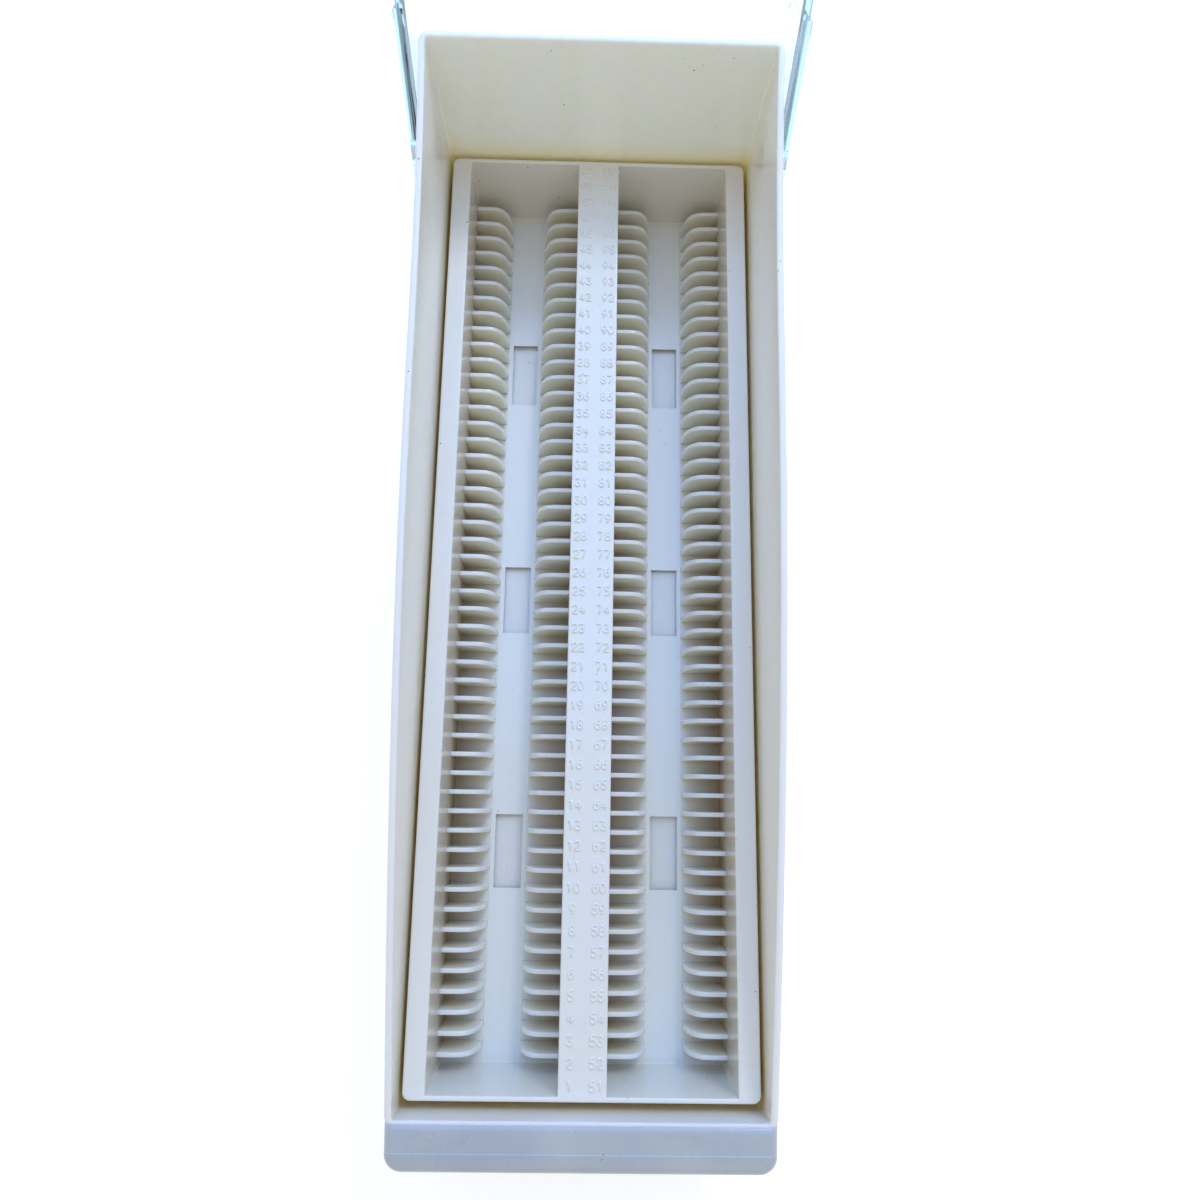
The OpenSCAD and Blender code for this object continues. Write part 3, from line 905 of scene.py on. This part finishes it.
class SLIDEBOX_OT_rack_fins(bpy.types.Operator):
    """Adds the four rows of fins between the slots"""

    bl_idname = "slide_box.rack_fins"
    bl_label = "Rack fins"

    def execute(self, context):
        """One fin is an outline, level and then a quarter of a full ellipse down to the floor, with a
        profile across it: two faces that thicken towards the foot and a softened top. All fins are
        the same array moved to each slot."""
        box = context.scene.slide_box
        rack = box.rack
        floor = RACK_TOP - rack.depth
        fin_w = (rack.channel_w - rack.strip_w) / 2
        sunk = 0.25 * MM
        angle = np.linspace(0, math.pi / 2, 7)
        run, rise = np.sin(angle) ** (2 / rack.fin_power), np.cos(angle) ** (2 / rack.fin_power)
        curve = np.stack([fin_w - rack.fin_run * (1 - run), rack.fin_h * rise], -1)
        outline = np.concatenate([[(-sunk, rack.fin_h)], curve])
        slope = np.stack([rack.fin_h * run, rack.fin_run * rise], -1) ** (rack.fin_power - 1)
        normal = np.concatenate([[(0, 1)], slope / np.linalg.norm(slope, axis=1, keepdims=True)])
        inner = outline - normal * rack.fin_edge
        inner[:, 1] = np.maximum(inner[:, 1], -sunk / 2)
        outline[-1, 1] = -sunk / 2
        foot = np.stack([inner[:, 0], np.full(len(inner), -sunk)], -1)
        sides = []
        for run, soft in ((foot, 0), (inner, 0), (outline, rack.fin_edge)):
            lower = np.clip(1 - run[:, 1] / rack.fin_h, 0, 1)
            half_t = (rack.fin_t + (rack.fin_foot - rack.fin_t) * lower) / 2 - soft
            sides.append(np.stack([run[:, 0], half_t, run[:, 1]], -1))
        ring = np.stack(sides + [s * (1, -1, 1) for s in sides[::-1]], 1)
        lines, steps = ring.shape[:2]
        faces = [grid_faces(lines, steps, wrap_columns=True)]
        cap = np.array([(0, 1, 4, 5), (1, 2, 3, 4)])
        faces += [cap, cap + (lines - 1) * steps]
        fin = (ring.reshape(-1, 3), np.concatenate(faces))

        slot = (np.arange(1, rack.slots) - rack.slots / 2) * rack.pitch
        inner_wall, outer_wall = rack.bar_w / 2, rack.bar_w / 2 + rack.channel_w
        copies = []
        for wall, facing in ((inner_wall, 1), (outer_wall, -1)):
            points = fin[0] * (facing, 1, 1) + (wall, 0, floor)
            moved = (points[None] + slot[:, None, None] * (0, 1, 0)).reshape(-1, 3)
            starts = np.arange(slot.size)[:, None, None] * len(points)
            copies.append((moved, (fin[1][None] + starts).reshape(-1, 4)))
        right = joined(copies)
        mesh = new_mesh("rack_fins", joined([right, mirrored(right)]))

        def recess(x, y, z):
            """Painted shade, growing down the faces of a fin, and nothing along its top."""
            lower = np.clip(1 - (z - floor) / rack.fin_h, 0, 1)
            across = np.abs((y / rack.pitch + rack.slots / 2 + 0.5) % 1 - 0.5) * rack.pitch
            face = across > (rack.fin_t + (rack.fin_foot - rack.fin_t) * lower - rack.fin_edge) / 2
            return face * (0.15 + 0.5 * lower) * wall_share(box, x)

        mark_recess(mesh, recess)
        plastic = ivory_plastic(context, "moulded_fins")
        even_shading(add_piece("rack_fins", mesh, plastic, "rack", "rack", sharp=70))
        return {"FINISHED"}


def arc(x, y, wide, high, start, end, steps=9):
    """Points on an ellipse about (x, y) between two angles in degrees."""
    angle = np.radians(np.linspace(start, end, steps))
    return np.stack([x + wide * np.cos(angle), y + high * np.sin(angle)], -1)


def line(x0, y0, x1, y1):
    """Two ends and a middle, so that a short stroke has a tangent everywhere."""
    return np.linspace((x0, y0), (x1, y1), 3)


def digit_strokes():
    """Centre lines of the ten digits in a box one wide and one high, as lines and arcs that
    turn gently. A stroke that ends where it began is a ring."""
    six = [arc(0.5, 0.32, 0.42, 0.30, 90, 450, 14), arc(0.86, 0.34, 0.78, 0.62, 98, 180, 6)]
    return {
        "0": [arc(0.5, 0.5, 0.43, 0.48, 90, 450, 15)],
        "1": [line(0.58, 0.98, 0.58, 0.02), line(0.55, 0.97, 0.22, 0.76)],
        "2": [np.concatenate([arc(0.5, 0.71, 0.41, 0.27, 170, -35, 9), [(0.10, 0.05)]]),
              line(0.08, 0.02, 0.94, 0.02)],
        "3": [arc(0.48, 0.27, 0.43, 0.25, 95, -162, 10), arc(0.48, 0.74, 0.36, 0.24, 160, -95, 8)],
        "4": [line(0.70, 0.02, 0.70, 0.98), line(0.05, 0.30, 0.96, 0.30), line(0.68, 0.97, 0.06, 0.31)],
        "5": [arc(0.48, 0.32, 0.43, 0.30, 138, -155, 11), line(0.24, 0.98, 0.15, 0.50),
              line(0.25, 0.98, 0.86, 0.98)],
        "6": six,
        "7": [line(0.06, 0.98, 0.94, 0.98), line(0.92, 0.97, 0.36, 0.02)],
        "8": [arc(0.5, 0.27, 0.42, 0.25, 90, 450, 13), arc(0.5, 0.75, 0.34, 0.23, 90, 450, 12)],
        "9": [1 - stroke for stroke in six],
    }


def ridge(path, width, height):
    """A low ridge along a flat path: at each point an arch across the path, which on an open
    path narrows beyond both ends."""
    ring = np.allclose(path[0], path[-1])
    if ring:
        path = path[:-1]
        ahead = np.roll(path, -1, axis=0) - np.roll(path, 1, axis=0)
    else:
        ahead = np.gradient(path, axis=0)
    ahead /= np.linalg.norm(ahead, axis=1, keepdims=True)
    full = np.ones(len(path))
    if not ring:
        beyond, narrow = width * 0.3, 0.45
        path = np.concatenate([path[:1] - ahead[:1] * beyond, path, path[-1:] + ahead[-1:] * beyond])
        ahead = np.concatenate([ahead[:1], ahead, ahead[-1:]])
        full = np.concatenate([[narrow], full, [narrow]])
    side = np.stack([-ahead[:, 1], ahead[:, 0]], -1)
    rows = []
    arch = ((-0.5, -0.3), (-0.37, 0.88), (0.0, 1.0), (0.37, 0.88), (0.5, -0.3), (0.0, -0.3))
    for across, up in arch:
        place = path + side * (across * width * full)[:, None]
        rows.append(np.column_stack([place, up * height * np.where(up > 0, full, 1)]))
    points = np.stack(rows, 1)
    lines, steps = points.shape[:2]
    faces = grid_faces(lines, steps, wrap_rows=ring, wrap_columns=True)
    if not ring:
        cap = np.array([(0, 1, 2, 5), (2, 3, 4, 5)])
        faces = np.concatenate([faces, cap, cap + (lines - 1) * steps])
    return points.reshape(-1, 3), faces


class SLIDEBOX_OT_numerals(bpy.types.Operator):
    """Adds the raised slot numbers on the bar"""

    bl_idname = "slide_box.numerals"
    bl_label = "Numerals"

    def execute(self, context):
        """Each digit's strokes become low ridges once, each a little lower than the one before it
        so that no two tops coincide. A number is its digits side by side, centred in its column."""
        box = context.scene.slide_box
        rack, text = box.rack, box.numerals
        size, lower = (text.digit_w, text.height), 0.07
        glyphs = {
            digit: joined([
                ridge(stroke * size, text.stroke_w, text.stroke_h * (1 - lower * layer))
                for layer, stroke in enumerate(strokes)
            ])
            for digit, strokes in digit_strokes().items()
        }
        parts = []
        for number in range(1, 2 * rack.slots + 1):
            column = -text.column if number <= rack.slots else text.column
            row = ((number - 1) % rack.slots + 0.5 - rack.slots / 2) * rack.pitch
            digits = str(number)
            whole = len(digits) * text.digit_w + (len(digits) - 1) * text.space
            for place, digit in enumerate(digits):
                points, faces = glyphs[digit]
                left = column - whole / 2 + place * (text.digit_w + text.space)
                parts.append((points + (left, row - text.height / 2, RACK_TOP), faces))
        mesh = new_mesh("numerals", joined(parts))
        plastic = ivory_plastic(context, "moulded_rack")
        add_piece("numerals", mesh, plastic, "rack", "rack", sharp=80)
        return {"FINISHED"}


def boolean(target, tool, operation):
    """The target's mesh united with, or cut by, the tool's mesh."""
    objects = [bpy.data.objects.new("shape", mesh) for mesh in (target, tool)]
    for item in objects:
        bpy.context.scene.collection.objects.link(item)
    change = objects[0].modifiers.new("change", "BOOLEAN")
    change.operation, change.object, change.solver = operation, objects[1], "EXACT"
    evaluated = objects[0].evaluated_get(bpy.context.evaluated_depsgraph_get())
    result = bpy.data.meshes.new_from_object(evaluated)
    for item in objects:
        bpy.data.objects.remove(item)
    return result


class SLIDEBOX_OT_clear_lid(bpy.types.Operator):
    """Adds the clear lid, open on its stop"""

    bl_idname = "slide_box.clear_lid"
    bl_label = "Clear lid"

    def execute(self, context):
        """A wall profile carried round the closed lid's plan, with its free edge raised along the
        back wall. Ears are joined on, stud holes are cut, and the whole is turned about the hinge."""
        box = context.scene.slide_box
        lid, base = box.lid, box.base
        half_w, front, back = base_outline(box)
        out = lid.gap + lid.wall_t
        free = RACK_TOP + base.rim_front + lid.lift
        behind = back - HINGE[1]
        notch = HINGE[2] + (behind + lid.stop_gap - (behind + out) * math.cos(LID_OPEN)) / math.sin(LID_OPEN)

        inner_top = lid.top - lid.wall_t
        inner_r = lid.edge_r - lid.wall_t
        roof = rounded_path(
            [(lid.wall_t + inner_r * 2, inner_top), (lid.wall_t, inner_top),
             (lid.wall_t, inner_top - inner_r * 2)],
            [inner_r],
        )
        foot = rounded_path(
            [(lid.wall_t, lid.foot_r * 2), (lid.wall_t, 0), (0, 0), (0, lid.foot_r * 2)],
            [lid.foot_r, lid.foot_r],
        )
        crown = rounded_path(
            [(0, lid.top - lid.edge_r * 2), (0, lid.top), (lid.edge_r * 2, lid.top)], [lid.edge_r], 8,
        )
        inset = np.concatenate([roof[:, 0], foot[:, 0], crown[:, 0]])
        fixed = np.concatenate([roof[:, 1], foot[:, 1], crown[:, 1]])
        on_foot = np.concatenate([np.zeros(len(roof)), np.ones(len(foot)), np.zeros(len(crown))])[:, None]
        loop = share, angle = half_loop(np.linspace(-0.98, 0.98, 40), 8)
        radius = np.maximum(lid.edge_r - inset, 0.3 * MM)
        x, y = loop_points(loop, half_w + out - inset, front - out + inset, back + out - inset, radius)
        at_back = (share == 1) & (angle > math.radians(30))
        z = fixed[:, None] + on_foot * np.where(at_back, notch, free)
        shell = new_mesh("clear_lid", loop_shell(x, y, z))

        ear = self.ear(box, half_w + out, free, back + out - lid.edge_r)
        lid_mesh = boolean(shell, new_mesh("ears", joined([ear, mirrored(ear)])), "UNION")
        play = base.stud_r + lid.stud_play
        reach = BASE_HIGH[0] + lid.wall_t
        pin = np.array([(-reach, 0), (-reach, play), (reach, play), (reach, 0)])
        lid_mesh = boolean(lid_mesh, new_mesh("pin", revolved(pin, HINGE)), "DIFFERENCE")
        lid_mesh.transform(
            Matrix.Translation(HINGE) @ Matrix.Rotation(-LID_OPEN, 4, "X") @ Matrix.Translation(-HINGE)
        )
        lid_mesh.name = "clear_lid"
        plastic = clear_plastic(context)
        even_shading(add_piece("clear_lid", lid_mesh, plastic, "lid", "lid", sharp=40))
        return {"FINISHED"}

    def ear(self, box, face, free, rear):
        """The outline of an ear, with a round front, drawn out from inside the wall past its face."""
        lid = box.lid
        top, tip = HINGE[2] + lid.ear_rise, HINGE[1] - lid.ear_reach
        rear_r, soft = 0.4 * MM, 0.2 * MM
        outline = rounded_path(
            [(rear, free), (rear, top), (tip, top), (tip, free)], [rear_r, lid.ear_rise], 10,
        )
        centre = np.array([(outline[:, 0].max() + outline[:, 0].min()) / 2, (top + free) / 2])
        shrunk = centre + (outline - centre) * (1 - 2 * soft / np.ptp(outline, axis=0))
        end = face + lid.ear_t
        layers = [(face - lid.wall_t / 2, outline), (end - soft, outline), (end, shrunk)]
        points = np.stack([np.column_stack([np.full(len(o), x), o]) for x, o in layers])
        columns = len(outline)
        faces = [grid_faces(3, columns, wrap_columns=True)]
        low = np.arange(columns // 2 - 1)
        strip = np.stack([low, low + 1, columns - 2 - low, columns - 1 - low], -1)
        faces += [strip, strip + 2 * columns]
        return points.reshape(-1, 3), np.concatenate(faces)


class SLIDEBOX_OT_stage(bpy.types.Operator):
    """Adds the floor, the lights and the camera"""

    bl_idname = "slide_box.stage"
    bl_label = "Stage"

    def execute(self, context):
        """A round floor disc, a sky that is white to the eye, a lamp high behind the box, a wide cool
        panel above it and a camera that looks down into it."""
        box = context.scene.slide_box
        stage = box.stage
        self.floor(box)
        self.sky(context, box)
        self.lamp("key", stage.key_place, stage.key_size, stage.key_power, box.colours.key)
        self.lamp("panel", stage.panel_place, stage.panel_size, stage.panel_power, box.colours.panel)

        camera = bpy.data.cameras.new("camera")
        camera.sensor_width, camera.lens = 36.0, stage.lens
        camera.clip_start, camera.clip_end = 0.01, 20.0
        eye = bpy.data.objects.new("camera", camera)
        tilt, yaw, roll = (Matrix.Rotation(a, 4, axis) for a, axis in zip(stage.turn, "XYZ"))
        eye.matrix_world = Matrix.Translation(stage.camera) @ tilt @ yaw @ roll
        context.scene.collection.objects.link(eye)
        context.scene.camera = eye
        context.scene.view_settings.view_transform = "Standard"
        return {"FINISHED"}

    def lamp(self, name, spot, size, power, tint):
        """A round lamp that faces the middle of the box."""
        light = bpy.data.lights.new(name, "AREA")
        light.shape, light.size, light.energy, light.color = "DISK", size, power, tint
        lamp = bpy.data.objects.new(name, light)
        lamp.location = spot
        lamp.rotation_euler = Vector(spot).to_track_quat("Z", "Y").to_euler()
        bpy.context.scene.collection.objects.link(lamp)

    def floor(self, box):
        """A disc of rings about the box, just below its underside."""
        radius = np.array([0.0, 0.5, 1.5, 6.0])[:, None]
        angle = np.linspace(0, 2 * math.pi, 64, endpoint=False)
        below = 0.2 * MM
        points = np.stack([radius * np.cos(angle), radius * np.sin(angle), radius * 0 * angle - below], -1)
        mesh = new_mesh("floor", (points.reshape(-1, 3), grid_faces(*points.shape[:2], wrap_columns=True)))
        material, tree, shader = new_material("floor_paper")
        fill(shader, {"Base Color": (*box.colours.floor, 1), "Roughness": 0.9})
        glow = add_node(tree, "ShaderNodeEmission", -200, -300, Strength=box.stage.floor_glow)
        white = add_node(tree, "ShaderNodeAddShader", 100, -200)
        tree.links.new(shader.outputs[0], white.inputs[0])
        tree.links.new(glow.outputs[0], white.inputs[1])
        show_mix(tree, seen_directly(tree), shader.outputs[0], white.outputs[0], "Material Output")
        mesh.materials.append(material)
        floor = bpy.data.objects.new("floor", mesh)
        bpy.context.scene.collection.objects.link(floor)

    def sky(self, context, box):
        """Light from all round, which the camera, gloss and glass see as plain white."""
        world = bpy.data.worlds.new("sky")
        context.scene.world = world
        world.use_nodes = True
        tree = world.node_tree
        light = tree.nodes["Background"]
        fill(light, {"Color": (*box.colours.sky, 1), "Strength": box.stage.sky_strength})
        white = add_node(tree, "ShaderNodeBackground", 0, -200, Color=(1, 1, 1, 1))
        show_mix(tree, seen_directly(tree), light.outputs[0], white.outputs[0], "World Output")


PIECES = (
    SLIDEBOX_OT_base_tray, SLIDEBOX_OT_front_lip, SLIDEBOX_OT_hinge_studs, SLIDEBOX_OT_rack_body,
    SLIDEBOX_OT_rack_fins, SLIDEBOX_OT_numerals, SLIDEBOX_OT_clear_lid, SLIDEBOX_OT_stage,
)


class SLIDEBOX_PT_panel(bpy.types.Panel):
    """Lists the pieces of the slide box"""

    bl_label = "Slide box"
    bl_idname = "SLIDEBOX_PT_panel"
    bl_space_type = "VIEW_3D"
    bl_region_type = "UI"
    bl_category = "Slide box"

    def draw(self, context):
        """One button for each piece."""
        for operator in PIECES:
            self.layout.operator(operator.bl_idname)


CLASSES = (
    RackSizes, BaseSizes, LidSizes, NumeralSizes, Colours, StageSizes, SlideBox, *PIECES, SLIDEBOX_PT_panel,
)


def register():
    """Makes the classes and the scene's settings known."""
    for item in CLASSES:
        bpy.utils.register_class(item)
    bpy.types.Scene.slide_box = PointerProperty(type=SlideBox)


def unregister():
    """Takes them away again."""
    del bpy.types.Scene.slide_box
    for item in reversed(CLASSES):
        bpy.utils.unregister_class(item)


def main():
    """Builds every piece in order."""
    register()
    for operator in PIECES:
        getattr(bpy.ops.slide_box, operator.bl_idname.split(".")[1])()
    bpy.context.view_layer.update()


if __name__ == "__main__":
    main()
